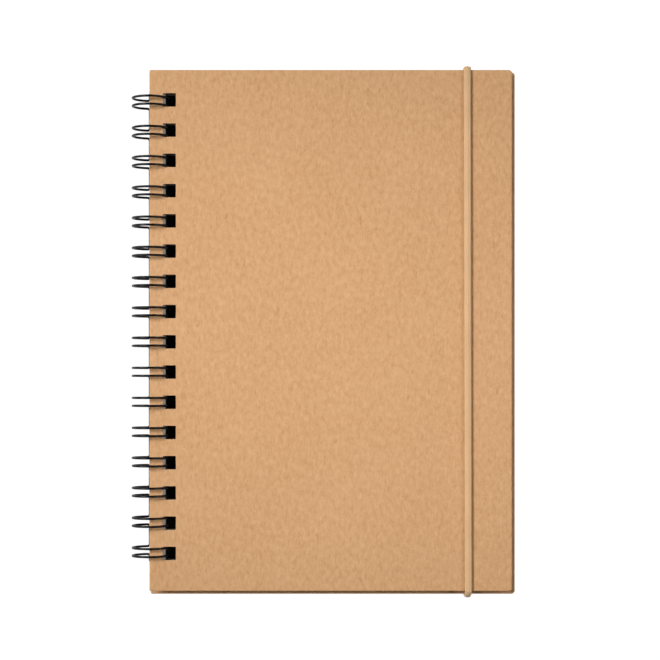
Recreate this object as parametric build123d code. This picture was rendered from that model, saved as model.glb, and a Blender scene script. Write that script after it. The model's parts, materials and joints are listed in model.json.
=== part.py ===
from build123d import *
from math import atan2, cos, degrees, hypot, radians, sin, sqrt
import os

# A closed hardcover sketchbook, bound at its left edge with one twin-loop wire and held shut
# by an elastic band. It lies flat: +Z goes out of the front cover, +Y towards the head of the
# book, and -X towards the bound edge. Everything is drawn about the middle line of the wire
# loops, which runs along Y, and is moved to its final place at the end. Millimetres.

# Covers
COVER_WIDTH = 154.1          # back cover, bound edge to fore edge
COVER_HEIGHT = 220.8         # back cover, head to tail
SHORT_AT_FORE = 1.65         # how far the front cover stops short of the back cover
SHORT_AT_TAIL = 1.75
COVER_THICK = 1.6
FORE_CORNER = 1.5            # plan radius of the two corners at the fore edge
BOUND_CORNER = 0.65          # and of the two at the bound edge
COVER_ARRIS = 0.55           # rounding where the kraft paper turns round the board
WRAP = 0.2                   # kraft paper glued round the board
TURN_IN = 15.0               # width of the kraft paper folded over onto the inside
LINER_OVER = 0.1             # the liner's own layer over the turn-ins
LINER_MARGIN = 3.0           # kraft left showing round the liner
LINER_CORNER = 0.5

# Sheets
SHEET_COUNT = 30
SHEET_THICK = 0.13
SHEET_WIDTH = 148.0
SHEET_HEIGHT = 210.0
SHEET_CORNER = 1.0
LOOP_CLEAR = 0.08            # between a sheet's hole and the loops it hangs on

# Binding holes, the same through every leaf
HOLE_COUNT = 16
HOLE_PITCH = 12.7
HOLE_WIDTH = 5.5             # across, from the bound edge inwards
HOLE_HEIGHT = 5.7            # along the bound edge
HOLE_CORNER = 0.3
HOLE_LAND = 5.65             # left between the bound edge and a hole
HEAD_TO_FIRST_HOLE = 12.65   # cover's head edge to the middle of the first hole

# Twin-loop wire
WIRE_RADIUS = 0.5
WIRE_PITCH = 12.64           # loop to loop, a little less than the holes
LOOP_RADIUS = 7.25           # to the middle of the wire
STRAND_GAP = 3.35            # between the two strands of a loop, centre to centre
BASE_BEND = 1.0
BASE_ANGLE = 256.0           # where the loops start, counted from +X towards +Z
TIP_ANGLE = 286.0            # where the loops end, beside the start
WIRE_END = 2.0               # cut end left past the first and last loop

# Elastic band
BAND_WIDTH = 3.1
BAND_THICK = 1.6
BAND_ROUNDING = 0.72         # its long edges
BAND_FROM_SPINE = 133.8      # cover's bound edge to the middle of the band
BAND_SLOT_FROM_EDGE = 12.0   # slots in the back cover, from its head and tail edges
BAND_CLEAR = 0.02            # gap between the band and the cover it lies on
SLOT_CLEAR = 0.2
BAND_TURN = 0.9              # middle radius of the turn into a slot

# The leaves start just clear of the line they all turn about
EDGE_X = 0.05
STACK = 2 * COVER_THICK + SHEET_COUNT * SHEET_THICK
TOP = STACK / 2
HEAD_Y = COVER_HEIGHT / 2
TAIL_Y = -COVER_HEIGHT / 2
FIRST_HOLE_Y = HEAD_Y - HEAD_TO_FIRST_HOLE
HOLE_X = EDGE_X + HOLE_LAND + HOLE_WIDTH / 2
HOLE_YS = [FIRST_HOLE_Y - HOLE_PITCH * n for n in range(HOLE_COUNT)]
FIRST_LOOP_Y = FIRST_HOLE_Y - (HOLE_COUNT - 1) * (HOLE_PITCH - WIRE_PITCH) / 2
LOOP_YS = [FIRST_LOOP_Y - WIRE_PITCH * n for n in range(HOLE_COUNT)]
BAND_X = EDGE_X + BAND_FROM_SPINE
SLOT_Y = HEAD_Y - BAND_SLOT_FROM_EDGE


def hole_cutters(low, high, corner, along=0):
    """The punches for all the binding holes, between two heights, moved so far along X."""
    cutters = []
    for y in HOLE_YS:
        if corner:
            outline = RectangleRounded(HOLE_WIDTH, HOLE_HEIGHT, corner)
        else:
            outline = Rectangle(HOLE_WIDTH, HOLE_HEIGHT)
        cutters.append(extrude(Pos(HOLE_X + along, y, low) * outline, high - low))
    return cutters


def slab(fore_x, tail_y, inset, low, high, fore_corner, bound_corner):
    """A plate between two heights, as large as a cover with its fore edge and its tail edge at
    the given places, less an inset on all sides."""
    outline = Rectangle(fore_x - EDGE_X - 2 * inset, HEAD_Y - tail_y - 2 * inset)
    outline = fillet(outline.vertices().sort_by(Axis.X)[2:], fore_corner)
    outline = fillet(outline.vertices().sort_by(Axis.X)[:2], bound_corner)
    middle = Pos((EDGE_X + fore_x) / 2, (HEAD_Y + tail_y) / 2, low)
    return extrude(middle * outline, high - low)


def rounded_rim(plate, low, high, radius):
    """Rounds the long outline edges of a plate at its lower and upper face."""
    rims = plate.edges().filter_by(lambda e: abs(e.center().Z - low) < 0.001)
    rims += plate.edges().filter_by(lambda e: abs(e.center().Z - high) < 0.001)
    return fillet(rims, radius)


def make_cover(fore_x, tail_y, slotted):
    """Wrap, board and liner of a cover whose outer face is at z = 0 and inner face at +Z."""
    turned = COVER_THICK - LINER_OVER
    board_low = WRAP
    board_high = turned - WRAP

    outer = slab(fore_x, tail_y, 0, 0, turned, FORE_CORNER, BOUND_CORNER)
    outer = rounded_rim(outer, 0, turned, COVER_ARRIS)
    core_corners = (FORE_CORNER - WRAP, BOUND_CORNER - WRAP)
    core = slab(fore_x, tail_y, WRAP, board_low, board_high, *core_corners)
    core = rounded_rim(core, board_low, board_high, COVER_ARRIS - WRAP)
    liner_corners = (LINER_CORNER, LINER_CORNER)
    window = slab(fore_x, tail_y, TURN_IN, board_high, turned, *liner_corners)
    sheet = slab(fore_x, tail_y, LINER_MARGIN, turned, COVER_THICK, *liner_corners)

    wrap = outer - core - window
    board = core
    liner = window + sheet

    punches = hole_cutters(-1, COVER_THICK + 1, HOLE_CORNER)
    if slotted:
        slots = []
        for side in (-1, 1):
            slot = Rectangle(BAND_WIDTH + 2 * SLOT_CLEAR, BAND_THICK + 2 * SLOT_CLEAR)
            slots.append(extrude(Pos(BAND_X, side * SLOT_Y, -1) * slot, board_high + 1))
        wrap = wrap - slots
        board = board - slots
    return wrap - punches, board - punches, liner - punches


def settled(low):
    """How far a sheet sits from the bound edge. The loops are round, so the sheets nearer to
    the middle of the stack have room to slide further in, and they do."""
    farthest = max(abs(low), abs(low + SHEET_THICK))
    inside = LOOP_RADIUS - WIRE_RADIUS - LOOP_CLEAR
    return sqrt(inside**2 - farthest**2) - EDGE_X - HOLE_LAND


def make_sheet(low):
    """One punched sheet of paper, its lower face at the given height."""
    along = settled(low)
    outline = RectangleRounded(SHEET_WIDTH, SHEET_HEIGHT, SHEET_CORNER)
    sheet = extrude(Pos(EDGE_X + along + SHEET_WIDTH / 2, 0, low) * outline, SHEET_THICK)
    return sheet - hole_cutters(low - 1, low + SHEET_THICK + 1, 0, along)


def loop_point(angle, ahead, y):
    """A point on the loops' circle, then so far ahead along its tangent there."""
    a = radians(angle)
    return Vector(
        LOOP_RADIUS * cos(a) - ahead * sin(a), y, LOOP_RADIUS * sin(a) + ahead * cos(a)
    )


def round_bar(start, along, length):
    """A straight length of wire."""
    return extrude(Plane(start, z_dir=along) * Circle(WIRE_RADIUS), length)


def bend(start, along, centre, about, angle):
    """A bend in the wire: its round section at start, turned about an axis."""
    section = Plane(start, z_dir=along) * Circle(WIRE_RADIUS)
    return revolve(section, Axis(centre, about), angle)


def ahead_of(angle):
    """The direction of the loops' circle, towards rising angles."""
    return Vector(-sin(radians(angle)), 0, cos(radians(angle)))


def outward(angle):
    """The direction away from the loops' middle line."""
    return Vector(cos(radians(angle)), 0, sin(radians(angle)))


def make_wire():
    """The one wire: every hole's loop is two strands joined at the tip, and a straight foot
    runs from each loop to the next."""
    pieces = []
    along_y = Vector(0, 1, 0)
    sweep_degrees = 360 - (TIP_ANGLE - BASE_ANGLE)
    for n, y in enumerate(LOOP_YS):
        for side in (-1, 1):
            strand_y = y + side * STRAND_GAP / 2
            # the strand itself, from its foot at the bottom over the top to the tip
            pieces.append(
                bend(
                    loop_point(BASE_ANGLE, 0, strand_y),
                    ahead_of(BASE_ANGLE),
                    (0, 0, 0),
                    along_y,
                    sweep_degrees,
                )
            )
            # the quarter bend from the strand into the foot
            corner_y = strand_y + side * BASE_BEND
            pieces.append(
                bend(
                    loop_point(BASE_ANGLE, 0, strand_y),
                    ahead_of(BASE_ANGLE),
                    loop_point(BASE_ANGLE, 0, corner_y),
                    outward(BASE_ANGLE) * -side,
                    90,
                )
            )
            # the foot along the spine, half of it from each neighbour, or a cut end
            first_or_last = (n == 0 and side == 1) or (n == HOLE_COUNT - 1 and side == -1)
            reach = WIRE_PITCH / 2 - STRAND_GAP / 2 - BASE_BEND
            if first_or_last:
                reach = WIRE_END
            if side == 1 or first_or_last:
                length = reach if first_or_last else 2 * reach
                foot = loop_point(BASE_ANGLE, BASE_BEND, corner_y)
                pieces.append(round_bar(foot, along_y * side, length))
        # the half turn that joins the two strands at the tip
        pieces.append(
            bend(
                loop_point(TIP_ANGLE, 0, y - STRAND_GAP / 2),
                ahead_of(TIP_ANGLE) * -1,
                loop_point(TIP_ANGLE, 0, y),
                outward(TIP_ANGLE),
                180,
            )
        )
    return pieces


def band_section(start, along):
    """The band's cross section at a point of its path."""
    plane = Plane(start, x_dir=(1, 0, 0), z_dir=along)
    return plane * RectangleRounded(BAND_WIDTH, BAND_THICK, BAND_ROUNDING)


def make_band():
    """The elastic band: over the front cover, round the head and tail edges, under the back
    cover, and up into its two slots, where the ends are glued. Where the back cover stands out
    past the front cover, the band slants out to it."""
    lift = BAND_THICK / 2 + BAND_CLEAR
    turn = COVER_ARRIS + lift
    face_z = TOP + lift
    arris_z = TOP - COVER_ARRIS
    inner_arris_z = TOP - COVER_THICK + LINER_OVER + COVER_ARRIS
    end_z = -TOP + COVER_THICK - LINER_OVER - WRAP - 0.05
    pieces = []

    # the straight run over the front cover
    low_y = TAIL_Y + SHORT_AT_TAIL + COVER_ARRIS
    high_y = HEAD_Y - COVER_ARRIS
    over = band_section((BAND_X, low_y, face_z), (0, 1, 0))
    pieces.append(extrude(over, high_y - low_y))
    for side, short in ((-1, SHORT_AT_TAIL), (1, 0)):
        about = (-side, 0, 0)
        back_y = HEAD_Y - COVER_ARRIS
        front_y = back_y - short
        slant = atan2(short, arris_z + inner_arris_z)
        away = Vector(0, side * cos(slant), sin(slant))
        down = Vector(0, side * sin(slant), -cos(slant))
        # round the front cover's edge
        start = (BAND_X, side * front_y, face_z)
        centre = Vector(BAND_X, side * front_y, arris_z)
        quarter = 90 - degrees(slant)
        pieces.append(revolve(band_section(start, (0, side, 0)), Axis(centre, about), quarter))
        # down past the sheets to the back cover's inner edge
        leg = band_section(centre + away * turn, down)
        pieces.append(extrude(leg, hypot(short, arris_z + inner_arris_z)))
        centre = Vector(BAND_X, side * back_y, -inner_arris_z)
        if short:
            bent = band_section(centre + away * turn, down)
            pieces.append(revolve(bent, Axis(centre, about), degrees(slant)))
        # straight down the back cover's edge and round it
        start = (BAND_X, side * (back_y + turn), -inner_arris_z)
        pieces.append(extrude(band_section(start, (0, 0, -1)), arris_z - inner_arris_z))
        start = (BAND_X, side * (back_y + turn), -arris_z)
        centre = (BAND_X, side * back_y, -arris_z)
        pieces.append(revolve(band_section(start, (0, 0, -1)), Axis(centre, about), 90))
        # under the back cover to the slot
        start = (BAND_X, side * back_y, -face_z)
        reach = back_y - SLOT_Y - BAND_TURN
        pieces.append(extrude(band_section(start, (0, -side, 0)), reach))
        # the turn into the slot
        start = (BAND_X, side * (SLOT_Y + BAND_TURN), -face_z)
        centre = (BAND_X, side * (SLOT_Y + BAND_TURN), BAND_TURN - face_z)
        pieces.append(revolve(band_section(start, (0, -side, 0)), Axis(centre, about), 90))
        # up through the slot, to just under the liner
        start = (BAND_X, side * SLOT_Y, BAND_TURN - face_z)
        pieces.append(extrude(band_section(start, (0, 0, 1)), end_z - start[2]))
    return pieces


def joined(pieces):
    """One solid from pieces that meet end to end."""
    return pieces[0].fuse(*pieces[1:])


# Build every piece about the loops' middle line
built = {}

wrap, board, liner = make_cover(EDGE_X + COVER_WIDTH, TAIL_Y, slotted=True)
built["back_cover_wrap"] = Pos(0, 0, -TOP) * wrap
built["back_cover_board"] = Pos(0, 0, -TOP) * board
built["back_cover_liner"] = Pos(0, 0, -TOP) * liner

for n in range(SHEET_COUNT):
    low = -TOP + COVER_THICK + n * SHEET_THICK
    built[f"sheet_{n + 1:02d}"] = make_sheet(low)

front_fore_x = EDGE_X + COVER_WIDTH - SHORT_AT_FORE
wrap, board, liner = make_cover(front_fore_x, TAIL_Y + SHORT_AT_TAIL, slotted=False)
built["front_cover_wrap"] = Pos(0, 0, TOP) * mirror(wrap, Plane.XY)
built["front_cover_board"] = Pos(0, 0, TOP) * mirror(board, Plane.XY)
built["front_cover_liner"] = Pos(0, 0, TOP) * mirror(liner, Plane.XY)

built["twin_loop_wire"] = joined(make_wire())
built["elastic_band"] = joined(make_band())

# Move everything so that the middle of the whole book's footprint is at the origin and the
# lowest point of the wire is at z = 0
wire_box = built["twin_loop_wire"].bounding_box()
shift = Pos(-(wire_box.min.X + EDGE_X + COVER_WIDTH) / 2, 0, -wire_box.min.Z)

os.makedirs("parts", exist_ok=True)
for name, shape in built.items():
    solids = (shift * shape).solids()
    assert len(solids) == 1, (name, len(solids))
    export_step(solids[0], f"parts/{name}.step")
    box = solids[0].bounding_box()
    print(name, round(solids[0].volume, 2), box.min, box.max)
print("loops' middle line at", shift.position)
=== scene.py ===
import json
import math

import bpy
import numpy as np
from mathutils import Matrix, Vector


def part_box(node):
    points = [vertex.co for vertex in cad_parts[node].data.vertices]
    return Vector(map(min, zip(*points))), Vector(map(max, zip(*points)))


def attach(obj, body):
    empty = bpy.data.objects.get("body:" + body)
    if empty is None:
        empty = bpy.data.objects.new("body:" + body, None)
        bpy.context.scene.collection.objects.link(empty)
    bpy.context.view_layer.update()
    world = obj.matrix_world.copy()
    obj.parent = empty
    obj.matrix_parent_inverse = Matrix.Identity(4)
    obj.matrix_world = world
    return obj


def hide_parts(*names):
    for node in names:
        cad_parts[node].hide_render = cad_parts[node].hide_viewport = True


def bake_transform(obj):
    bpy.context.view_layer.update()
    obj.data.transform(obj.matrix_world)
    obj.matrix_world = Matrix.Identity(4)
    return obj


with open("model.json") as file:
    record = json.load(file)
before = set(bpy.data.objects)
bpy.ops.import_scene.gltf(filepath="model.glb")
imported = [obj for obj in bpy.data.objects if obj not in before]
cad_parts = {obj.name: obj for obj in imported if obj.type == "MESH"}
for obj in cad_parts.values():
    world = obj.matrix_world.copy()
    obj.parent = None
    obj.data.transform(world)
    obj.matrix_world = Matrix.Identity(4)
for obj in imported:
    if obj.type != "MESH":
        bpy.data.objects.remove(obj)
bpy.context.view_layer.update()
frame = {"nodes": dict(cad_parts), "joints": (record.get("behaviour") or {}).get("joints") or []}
nodes = frame["nodes"]
MM = 0.001

# ---------------------------------------------------------------- places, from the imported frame
front_low, front_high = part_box("front_cover_wrap")
back_low, back_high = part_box("back_cover_wrap")
band_low, band_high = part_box("elastic_band")
AXIS_X, _, AXIS_Z = next(j["pos_m"] for j in frame["joints"] if j["name"] == "front_cover_turn")
TOP_Z = front_high[2]
HEAD_Y = front_high[1]
TAIL_Y = front_low[1]

# ---------------------------------------------------------------- holes and loops, head to tail
LOOPS = 16
PITCH = 12.7 * MM
HOLE_W = 5.5 * MM
HOLE_H = 5.7 * MM
LAND = 5.65 * MM              # cover left between the spine edge and the holes
HEAD_MARGIN = 12.65 * MM      # from the head edge to the middle of the first hole
HOLE_X = front_low[0] + LAND + HOLE_W / 2
FIRST_HOLE_Y = HEAD_Y - HEAD_MARGIN
WIRE_PITCH = 12.64 * MM       # the loops stand a little closer than the holes
FIRST_LOOP_Y = FIRST_HOLE_Y - (LOOPS - 1) * (PITCH - WIRE_PITCH) / 2

# ---------------------------------------------------------------- cover paper, punched edges
KRAFT = (0.60, 0.342, 0.168)
KRAFT_STEP = (0.0064, 0.0050, 0.0037)
RIM = 0.5 * MM                # the burr round a punched hole fades out at 0.7 of this


# ---------------------------------------------------------------- material helpers
class Nodes:
    """Small helper that makes and joins shader nodes of one material."""

    def __init__(self, name):
        self.material = bpy.data.materials.new(name)
        self.material.use_nodes = True
        self.tree = self.material.node_tree
        self.tree.nodes.clear()
        self.out = self.tree.nodes.new("ShaderNodeOutputMaterial")
        self.bsdf = self.tree.nodes.new("ShaderNodeBsdfPrincipled")
        self.link(self.bsdf.outputs[0], self.out.inputs[0])
        self.coords = self.tree.nodes.new("ShaderNodeTexCoord").outputs["Object"]

    def link(self, a, b):
        self.tree.links.new(a, b)

    def put(self, value, socket):
        if isinstance(value, bpy.types.NodeSocket):
            self.link(value, socket)
        else:
            socket.default_value = value

    def scaled(self, scale, turn=(0, 0, 0)):
        node = self.tree.nodes.new("ShaderNodeMapping")
        node.inputs["Scale"].default_value = scale
        node.inputs["Rotation"].default_value = turn
        self.link(self.coords, node.inputs["Vector"])
        return node.outputs[0]

    def noise(self, scale, detail=3, rough=0.55, vector=None, distortion=0.0):
        node = self.tree.nodes.new("ShaderNodeTexNoise")
        node.inputs["Scale"].default_value = scale
        node.inputs["Detail"].default_value = detail
        node.inputs["Roughness"].default_value = rough
        node.inputs["Distortion"].default_value = distortion
        self.link(vector or self.coords, node.inputs["Vector"])
        return node.outputs["Fac"]

    def ramp(self, value, stops):
        node = self.tree.nodes.new("ShaderNodeValToRGB")
        ramp = node.color_ramp
        while len(ramp.elements) < len(stops):
            ramp.elements.new(0.5)
        for element, (place, colour) in zip(ramp.elements, stops):
            element.position = place
            if not isinstance(colour, tuple):
                colour = (colour, colour, colour)
            element.color = (*colour, 1)
        self.link(value, node.inputs[0])
        return node.outputs[0]

    def mix(self, kind, share, a, b):
        node = self.tree.nodes.new("ShaderNodeMix")
        node.data_type = "RGBA"
        node.blend_type = kind
        self.put(share, node.inputs[0])
        for value, socket in ((a, node.inputs[6]), (b, node.inputs[7])):
            self.put((*value, 1) if isinstance(value, tuple) else value, socket)
        return node.outputs[2]

    def maths(self, kind, a, b=0.0):
        node = self.tree.nodes.new("ShaderNodeMath")
        node.operation = kind
        self.put(a, node.inputs[0])
        self.put(b, node.inputs[1])
        return node.outputs[0]

    def bump(self, height, strength, distance):
        node = self.tree.nodes.new("ShaderNodeBump")
        node.inputs["Strength"].default_value = strength
        node.inputs["Distance"].default_value = distance
        self.link(height, node.inputs["Height"])
        self.link(node.outputs[0], self.bsdf.inputs["Normal"])

    def colour(self, value):
        self.put((*value, 1) if isinstance(value, tuple) else value, self.bsdf.inputs["Base Color"])

    def set(self, **values):
        for name, value in values.items():
            self.put(value, self.bsdf.inputs[name.replace("_", " ")])


def kraft():
    """Brown kraft paper: pulp fibres that run head to tail, fine grain, pale and dark flecks,
    and a pale burr round the punched holes."""
    m = Nodes("kraft_paper")
    cloud = m.noise(42, 3, 0.55)
    fibre = m.noise(1, 3, 0.6, m.scaled((1200, 400, 1200)), 0.3)
    mottle = m.noise(1, 3, 0.6, m.scaled((520, 330, 520), (0, 0, 0.3)))
    grain = m.noise(2400, 2, 0.6)
    pale = m.noise(1, 1, 0.4, m.scaled((1300, 380, 1300), (0, 0, 0.12)))
    dark = m.noise(1, 1, 0.4, m.scaled((1000, 300, 1000), (0, 0, -0.15)))

    # one height for all of it, turned into tone by adding the same step to every channel
    tone = m.maths("MULTIPLY", fibre, 0.30)
    tone = m.maths("ADD", tone, m.maths("MULTIPLY", mottle, 0.36))
    tone = m.maths("ADD", tone, m.maths("MULTIPLY", grain, 0.24))
    tone = m.maths("ADD", tone, m.maths("MULTIPLY", cloud, 0.10))
    base = m.ramp(tone, [(0.36, kraft_tone(-13)), (0.50, kraft_tone(0)), (0.64, kraft_tone(11))])
    pale_share = m.maths("MULTIPLY", m.ramp(pale, [(0.70, 0.0), (0.78, 1.0)]), 0.55)
    base = m.mix("MIX", pale_share, base, kraft_tone(16))
    dark_share = m.maths("MULTIPLY", m.ramp(dark, [(0.71, 0.0), (0.80, 1.0)]), 0.55)
    base = m.mix("MIX", dark_share, base, kraft_tone(-24))
    burr = punched_rim(m)
    base = m.mix("MIX", m.maths("MULTIPLY", burr, 0.5), base, kraft_tone(16))
    m.colour(base)
    m.set(Roughness=0.88, Specular_IOR_Level=0.18)
    height = m.maths("ADD", m.maths("MULTIPLY", fibre, 0.6), m.maths("MULTIPLY", grain, 0.5))
    height = m.maths("ADD", height, m.maths("MULTIPLY", burr, 0.5))
    m.bump(height, 0.40, 0.00008)
    return m.material


def kraft_tone(step):
    """The kraft colour, lighter or darker by the same display step in all three channels."""
    return tuple(c + step * k for c, k in zip(KRAFT, KRAFT_STEP))


def punched_rim(m):
    """One in and on the edges of the punched holes, and nothing a little way out from them."""
    place = m.tree.nodes.new("ShaderNodeSeparateXYZ")
    m.link(m.coords, place.inputs[0])
    across = m.maths("ABSOLUTE", m.maths("SUBTRACT", place.outputs[0], HOLE_X))
    row = m.maths("SUBTRACT", place.outputs[1], FIRST_HOLE_Y - PITCH / 2)
    along = m.maths("ABSOLUTE", m.maths("SUBTRACT", m.maths("FLOORED_MODULO", row, PITCH), PITCH / 2))
    out_across = m.maths("SUBTRACT", across, HOLE_W / 2)
    out_along = m.maths("SUBTRACT", along, HOLE_H / 2)
    out = m.maths("MAXIMUM", out_across, out_along)
    # nothing past the first and the last hole
    rows_middle = FIRST_HOLE_Y - (LOOPS - 1) * PITCH / 2
    from_middle = m.maths("ABSOLUTE", m.maths("SUBTRACT", place.outputs[1], rows_middle))
    past_rows = m.maths("SUBTRACT", from_middle, LOOPS * PITCH / 2 - 1 * MM)
    out = m.maths("MAXIMUM", out, past_rows)
    return m.ramp(m.maths("DIVIDE", out, RIM), [(0.0, 1.0), (0.35, 0.7), (0.7, 0.0)])


def greyboard():
    """Pressed board, its plies showing as layers at the cut edges."""
    m = Nodes("greyboard")
    plies = m.noise(1, 4, 0.6, m.scaled((500, 500, 5200)))
    specks = m.noise(2100, 2, 0.5)
    base = m.ramp(plies, [(0.3, (0.19, 0.165, 0.135)), (0.7, (0.33, 0.29, 0.24))])
    m.colour(m.mix("MULTIPLY", 0.5, base, m.ramp(specks, [(0.35, 0.6), (0.6, 1.05)])))
    m.set(Roughness=0.95, Specular_IOR_Level=0.1)
    m.bump(plies, 0.6, 0.0001)
    return m.material


def paper(name, tone):
    """Drawing paper with a fine tooth; each group of sheets has its own slight tone."""
    m = Nodes(name)
    tooth = m.noise(3200, 3, 0.6)
    cloud = m.noise(45, 3, 0.5)
    low = tuple(c * 0.975 for c in tone)
    base = m.ramp(cloud, [(0.3, low), (0.7, tone)])
    base = m.mix("MULTIPLY", 0.35, base, m.ramp(tooth, [(0.3, 0.93), (0.7, 1.03)]))
    # painted shade on the cut edges between the sheets, darkest inside the punched holes
    painted_edge_shade = m.mix("MIX", punched_rim(m), (0.62, 0.61, 0.60), (0.22, 0.22, 0.225))
    facing = m.tree.nodes.new("ShaderNodeSeparateXYZ")
    m.link(m.tree.nodes.new("ShaderNodeTexCoord").outputs["Normal"], facing.inputs[0])
    upright = m.ramp(m.maths("ABSOLUTE", facing.outputs[2]), [(0.3, 1.0), (0.7, 0.0)])
    m.colour(m.mix("MULTIPLY", upright, base, painted_edge_shade))
    m.set(Roughness=0.92, Specular_IOR_Level=0.15)
    m.bump(tooth, 0.35, 0.00005)
    return m.material


def liner():
    """The smooth brown paper glued to the inside of a cover."""
    m = Nodes("liner_paper")
    cloud = m.noise(60, 4, 0.6)
    fibre = m.noise(1, 4, 0.6, m.scaled((1400, 320, 1400)))
    base = m.ramp(cloud, [(0.3, (0.40, 0.235, 0.115)), (0.7, (0.44, 0.262, 0.13))])
    m.colour(m.mix("MULTIPLY", 0.4, base, m.ramp(fibre, [(0.3, 0.86), (0.7, 1.1)])))
    m.set(Roughness=0.9, Specular_IOR_Level=0.15)
    m.bump(fibre, 0.3, 0.00006)
    return m.material


def wire_coat():
    """Black nylon coating on steel wire, with a faint orange-peel and dust."""
    m = Nodes("black_wire")
    dust = m.noise(420, 3, 0.6)
    peel = m.noise(3800, 2, 0.5)
    m.colour(m.ramp(dust, [(0.35, (0.0035, 0.0035, 0.004)), (0.75, (0.008, 0.008, 0.0085))]))
    m.put(m.ramp(dust, [(0.3, 0.30), (0.7, 0.44)]), m.bsdf.inputs["Roughness"])
    m.set(Specular_IOR_Level=0.26)
    m.bump(peel, 0.12, 0.00002)
    return m.material


def elastic():
    """Woven elastic: the mesh has the ribs and the braid, this adds yarn and colour."""
    m = Nodes("elastic")
    yarn = m.noise(1, 3, 0.6, m.scaled((3000, 1500, 3000)))
    cloud = m.noise(90, 3, 0.5)
    base = m.ramp(cloud, [(0.3, (0.63, 0.395, 0.205)), (0.7, (0.69, 0.44, 0.235))])
    m.colour(m.mix("MULTIPLY", 0.5, base, m.ramp(yarn, [(0.32, 0.82), (0.68, 1.10)])))
    m.set(Roughness=0.78, Specular_IOR_Level=0.25, Sheen_Weight=0.15, Sheen_Roughness=0.5)
    m.bump(yarn, 0.4, 0.00006)
    return m.material


kraft_material = kraft()
board = greyboard()
liner_material = liner()
papers = [
    paper("sketch_paper_a", (0.80, 0.785, 0.755)),
    paper("sketch_paper_b", (0.77, 0.755, 0.72)),
    paper("sketch_paper_c", (0.83, 0.815, 0.785)),
]


def finish_node(name, material):
    """Give a CAD node its material."""
    piece = nodes[name]
    piece.data.materials.clear()
    piece.data.materials.append(material)


for side in ("back", "front"):
    finish_node(f"{side}_cover_wrap", kraft_material)
    finish_node(f"{side}_cover_board", board)
    finish_node(f"{side}_cover_liner", liner_material)
for name in nodes:
    if name.startswith("sheet_"):
        finish_node(name, papers[int(name[-2:]) * 7 % len(papers)])


# ---------------------------------------------------------------- meshes
def new_piece(name, points, faces, material):
    """A smooth-shaded piece, made from its points and faces."""
    mesh = bpy.data.meshes.new(name)
    mesh.from_pydata([tuple(p) for p in points], [], faces)
    mesh.validate()
    mesh.polygons.foreach_set("use_smooth", [True] * len(mesh.polygons))
    mesh.materials.append(material)
    piece = bpy.data.objects.new(name, mesh)
    bpy.context.collection.objects.link(piece)
    return piece


def tube_faces(rings, around):
    """Sides and two flat ends for rings of points that follow each other."""
    faces = []
    for r in range(rings - 1):
        for k in range(around):
            a = r * around + k
            b = r * around + (k + 1) % around
            faces.append((a, b, b + around, a + around))
    faces.append(tuple(reversed(range(around))))
    faces.append(tuple(range((rings - 1) * around, rings * around)))
    return faces


# the twin-loop wire: one path, drawn about the loops' middle line
LOOP = 7.25 * MM
WIRE = 0.5 * MM
STRANDS = 3.35 * MM
BASE_BEND = 1.0 * MM
END_RUN = 2 * MM              # straight wire left at each cut end
BASE = math.radians(256)      # the loops' feet, as an angle from +X towards +Z
TIP = math.radians(286)       # the loops' tips, as the same angle
WIRE_SIDES = 14


def on_loop(angle, ahead, y):
    """A point of the loops' circle, moved ahead along its tangent."""
    return Vector((
        AXIS_X + LOOP * math.cos(angle) - ahead * math.sin(angle),
        y,
        AXIS_Z + LOOP * math.sin(angle) + ahead * math.cos(angle),
    ))


def wire_path():
    """The wire's middle line, from the cut end at the head to the one at the tail."""
    path = []
    start = BASE
    stop = TIP - 2 * math.pi
    for n in range(LOOPS):
        y = FIRST_LOOP_Y - WIRE_PITCH * n
        for side in (1, -1):
            strand = y + side * STRANDS / 2
            corner = strand + side * BASE_BEND
            quarter = [
                on_loop(BASE, BASE_BEND * math.sin(t), corner - side * BASE_BEND * math.cos(t))
                for t in np.linspace(0, math.pi / 2, 9)
            ]
            arc = [on_loop(a, 0, strand) for a in np.linspace(start, stop, 97)]
            if side == 1:
                if n == 0:
                    path.append(on_loop(BASE, BASE_BEND, corner + END_RUN))
                path += quarter[::-1] + arc[1:]
                path += [
                    on_loop(TIP, -STRANDS / 2 * math.sin(t), y + STRANDS / 2 * math.cos(t))
                    for t in np.linspace(0, math.pi, 21)[1:-1]
                ]
            else:
                path += arc[::-1] + quarter[1:]
                if n == LOOPS - 1:
                    path.append(on_loop(BASE, BASE_BEND, corner - END_RUN))
    return path


def tube(path, radius, around):
    """A round tube along a path, its section carried along without twisting."""
    points = []
    up = None
    for i, p in enumerate(path):
        ahead = (path[min(i + 1, len(path) - 1)] - path[max(i - 1, 0)]).normalized()
        if up is None:
            up = ahead.orthogonal().normalized()
        up = (up - ahead * up.dot(ahead)).normalized()
        across = ahead.cross(up)
        for k in range(around):
            angle = 2 * math.pi * k / around
            points.append(p + (up * math.cos(angle) + across * math.sin(angle)) * radius)
    return points, tube_faces(len(path), around)


points, faces = tube(wire_path(), WIRE, WIRE_SIDES)
wire = new_piece("twin_loop_wire_smooth", points, faces, wire_coat())
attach(wire, "wire")
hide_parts("twin_loop_wire")

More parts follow.
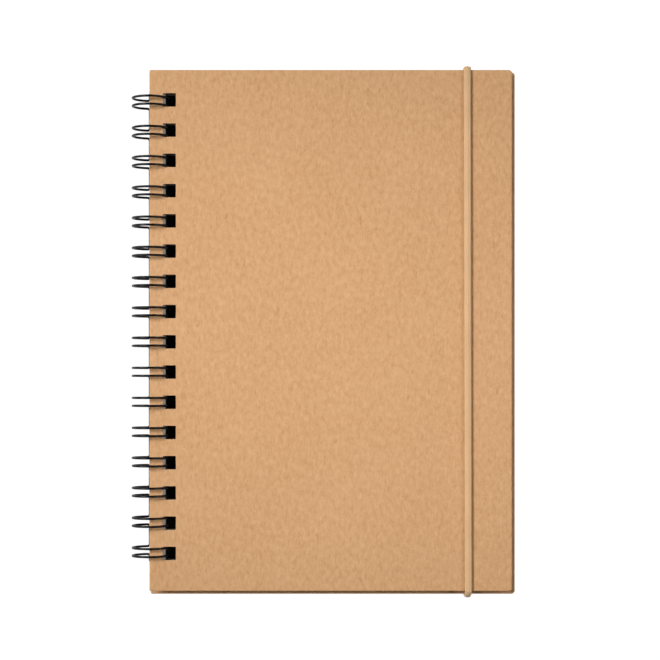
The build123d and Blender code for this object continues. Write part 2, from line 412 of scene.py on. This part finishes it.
# the elastic band: a thick braid of three ribs, following the CAD band's own path
BAND_W = 3.0 * MM
BAND_T = 1.6 * MM
BAND_X = (band_low[0] + band_high[0]) / 2
BAND_SIDES = 48
ARRIS = 0.55 * MM             # rounding of the covers' edges
TURN = 0.9 * MM               # bend of the band's middle line at the slots
SLOT_Y = back_high[1] - 12 * MM
SLOT_DEPTH = 1.2 * MM         # how far the ends reach into the back cover
LIFT = BAND_T / 2 + 0.02 * MM
BRAID = 1.1 * MM              # length of one turn of the braid
RIBS = 3                      # an odd number, so that one rib runs along the middle
OVAL = 0.96                   # below 1 the section is fuller than an ellipse
GROOVE_DEPTH = 0.13           # these three are shares of the band's size
WEAVE_DEPTH = 0.05
WEAVE_WIDTH = 0.015
WEAVE_LEAN = 5.0              # radians of the braid from the middle to an edge
SLANT = 0.25 * MM             # the band lies this much off straight at head and tail


def band_path():
    """Points and outward directions along the band, from one slot to the other."""
    turn = ARRIS + LIFT
    top = band_high[2] - BAND_T / 2
    low = band_low[2] + BAND_T / 2
    step = BRAID / 5
    path = []

    def straight(a, b, out):
        """Points from a to just short of b, all with the same outward direction."""
        count = max(2, round((Vector(b) - Vector(a)).length / step))
        for t in np.linspace(0, 1, count + 1)[:-1]:
            path.append((Vector(a).lerp(Vector(b), t), Vector(out)))

    def round_corner(y, z, radius, start, stop):
        """An arc about a line along X; angles in degrees from +Y towards +Z."""
        count = max(8, round(math.radians(abs(stop - start)) * radius / step))
        for a in np.radians(np.linspace(start, stop, count + 1)[:-1]):
            out = Vector((0, math.cos(a), math.sin(a)))
            path.append((Vector((BAND_X, y, z)) + out * radius, out))

    def at(y, z):
        return BAND_X, y, z

    slot_end = back_low[2] + SLOT_DEPTH
    front_tail = TAIL_Y + ARRIS
    back_tail = back_low[1] + ARRIS
    head = HEAD_Y - ARRIS
    upper = top - turn
    lower = low + turn
    inner = back_high[2] - ARRIS
    slant = math.atan2(front_tail - back_tail, upper - inner)
    lean = 180 - math.degrees(slant)
    away = Vector((0, math.cos(math.radians(lean)), math.sin(math.radians(lean)))) * turn

    # up out of the tail slot, under the back cover and round its edge
    straight(at(-SLOT_Y, slot_end), at(-SLOT_Y, low + TURN), (0, 1, 0))
    round_corner(-SLOT_Y - TURN, low + TURN, TURN, 0, -90)
    straight(at(-SLOT_Y - TURN, low), at(back_tail, low), (0, 0, -1))
    round_corner(back_tail, lower, turn, -90, -180)
    straight(at(back_tail - turn, lower), at(back_tail - turn, inner), (0, -1, 0))
    # slanting in to the front cover's edge, over the front cover and down past the head
    round_corner(back_tail, inner, turn, 180, lean)
    start = Vector(at(back_tail, inner)) + away
    straight(start, Vector(at(front_tail, upper)) + away, away.normalized())
    round_corner(front_tail, upper, turn, lean, 90)
    straight(at(front_tail, top), at(head, top), (0, 0, 1))
    round_corner(head, upper, turn, 90, 0)
    straight(at(head + turn, upper), at(head + turn, lower), (0, 1, 0))
    # round the back cover's edge, under it and into the head slot
    round_corner(head, lower, turn, 0, -90)
    straight(at(head, low), at(SLOT_Y + TURN, low), (0, 0, -1))
    round_corner(SLOT_Y + TURN, low + TURN, TURN, -90, -180)
    straight(at(SLOT_Y, low + TURN), at(SLOT_Y, slot_end), (0, -1, 0))
    path.append((Vector(at(SLOT_Y, slot_end)), Vector((0, -1, 0))))
    return path


def band_mesh():
    """The band's section, a thick oval with grooves and a braid, set along its path."""
    points = []
    path = band_path()
    travelled = 0.0
    for i, (p, out) in enumerate(path):
        if i:
            travelled += (p - path[i - 1][0]).length
        phase = 2 * math.pi * travelled / BRAID
        for k in range(BAND_SIDES):
            angle = 2 * math.pi * k / BAND_SIDES
            cosine, sine = math.cos(angle), math.sin(angle)
            across = math.copysign(abs(cosine) ** OVAL, cosine)
            height = math.copysign(abs(sine) ** OVAL, sine) * BAND_T / 2
            groove = 0.5 + math.cos((across * RIBS / 2 + 0.5) * 2 * math.pi) * 0.5
            weave = math.sin(phase + across * WEAVE_LEAN) * 0.5 + 0.5
            height *= 1 - GROOVE_DEPTH * groove - WEAVE_DEPTH * weave
            x = across * BAND_W / 2 * (1 - WEAVE_WIDTH * weave)
            x -= SLANT * p.y / HEAD_Y
            points.append(p + Vector((x, 0, 0)) + out * height)
    return points, tube_faces(len(path), BAND_SIDES)


points, faces = band_mesh()
band = new_piece("elastic_band_woven", points, faces, elastic())
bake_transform(band)
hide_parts("elastic_band")

# ---------------------------------------------------------------- floor, light and camera
FLOOR_REACH = 3               # metres from the book to the floor's edges
SHADE_INSET = 4 * MM          # the painted shade under the book starts this far inside the back cover
SHADE_FADE = 3.5 * MM
GLOW = 1.08
GLOW_SHARE = 0.93

corners = [(FLOOR_REACH * x, FLOOR_REACH * y, 0) for x, y in ((-1, -1), (1, -1), (1, 1), (-1, 1))]
floor_mesh = bpy.data.meshes.new("floor")
floor_mesh.from_pydata(corners, [], [(0, 1, 2, 3)])
floor = bpy.data.objects.new("floor", floor_mesh)
bpy.context.collection.objects.link(floor)


def studio_paper():
    """White backdrop paper. Camera rays see it glow, so that it is evenly white, and the book gets
    only its plain diffuse light. The glow would fill the book's holes with white, so the floor has
    painted shade, near black, in the back cover's outline, a little way in from its edges."""
    m = Nodes("floor")
    m.set(Roughness=0.9, Specular_IOR_Level=0.1)
    place = m.tree.nodes.new("ShaderNodeSeparateXYZ")
    m.link(m.coords, place.inputs[0])
    middle_x = (back_low[0] + back_high[0]) / 2
    from_middle = m.maths("ABSOLUTE", m.maths("SUBTRACT", place.outputs[0], middle_x))
    out_x = m.maths("SUBTRACT", from_middle, back_high[0] - middle_x - SHADE_INSET)
    out_y = m.maths("SUBTRACT", m.maths("ABSOLUTE", place.outputs[1]), back_high[1] - SHADE_INSET)
    share = m.maths("DIVIDE", m.maths("MAXIMUM", out_x, out_y), SHADE_FADE)
    outside = m.ramp(share, [(0.0, 0.0), (1.0, 1.0)])
    # painted shade: near black under the book, pale paper outside it
    m.colour(m.mix("MIX", outside, (0.03, 0.03, 0.03), (0.90, 0.90, 0.90)))
    seen = m.tree.nodes.new("ShaderNodeLightPath").outputs["Is Camera Ray"]
    glow = m.tree.nodes.new("ShaderNodeEmission")
    glow.inputs["Strength"].default_value = GLOW
    blend = m.tree.nodes.new("ShaderNodeMixShader")
    m.link(m.maths("MULTIPLY", m.maths("MULTIPLY", outside, seen), GLOW_SHARE), blend.inputs[0])
    m.link(m.bsdf.outputs[0], blend.inputs[1])
    m.link(glow.outputs[0], blend.inputs[2])
    m.link(blend.outputs[0], m.out.inputs[0])
    return m.material


floor_mesh.materials.append(studio_paper())


def softbox(name, place, target, size, power, spread):
    """An area light aimed at a point of the book, its beam narrowed by a grid."""
    light = bpy.data.lights.new(name, "AREA")
    light.shape = "RECTANGLE"
    light.size, light.size_y = size
    light.energy = power
    light.spread = math.radians(spread)
    lamp = bpy.data.objects.new(name, light)
    lamp.location = place
    lamp.rotation_euler = (Vector(target) - Vector(place)).to_track_quat("-Z", "Y").to_euler()
    bpy.context.collection.objects.link(lamp)


GRID = 39                     # degrees of beam that the grid leaves
softbox("key", (-0.66, 0.22, 0.76), (0.01, -0.01, 0), (0.40, 0.50), 0.935, GRID)
softbox("fill", (0.80, 0.12, 0.64), (-0.01, -0.01, 0), (0.40, 0.40), 0.26, GRID)

world = bpy.data.worlds.new("studio")
world.use_nodes = True
background = world.node_tree.nodes["Background"]
background.inputs["Color"].default_value = (1, 1, 1, 1)
background.inputs["Strength"].default_value = 0.08
bpy.context.scene.world = world
bpy.context.scene.view_settings.view_transform = "Standard"

# the camera looks straight down on a point below the book's middle, and its shift brings the
# frame back up to that middle
EYE_FROM_SPINE = 75.9 * MM
EYE_FROM_HEAD = 132.4 * MM
EYE_ABOVE = 0.75
camera_data = bpy.data.cameras.new("camera")
camera = bpy.data.objects.new("camera", camera_data)
camera.location = (front_low[0] + EYE_FROM_SPINE, HEAD_Y - EYE_FROM_HEAD, TOP_Z + EYE_ABOVE)
camera_data.lens = 97.4
camera_data.sensor_width = 36
camera_data.shift_y = 0.0833
camera_data.clip_start = 0.01
bpy.context.collection.objects.link(camera)
bpy.context.scene.camera = camera
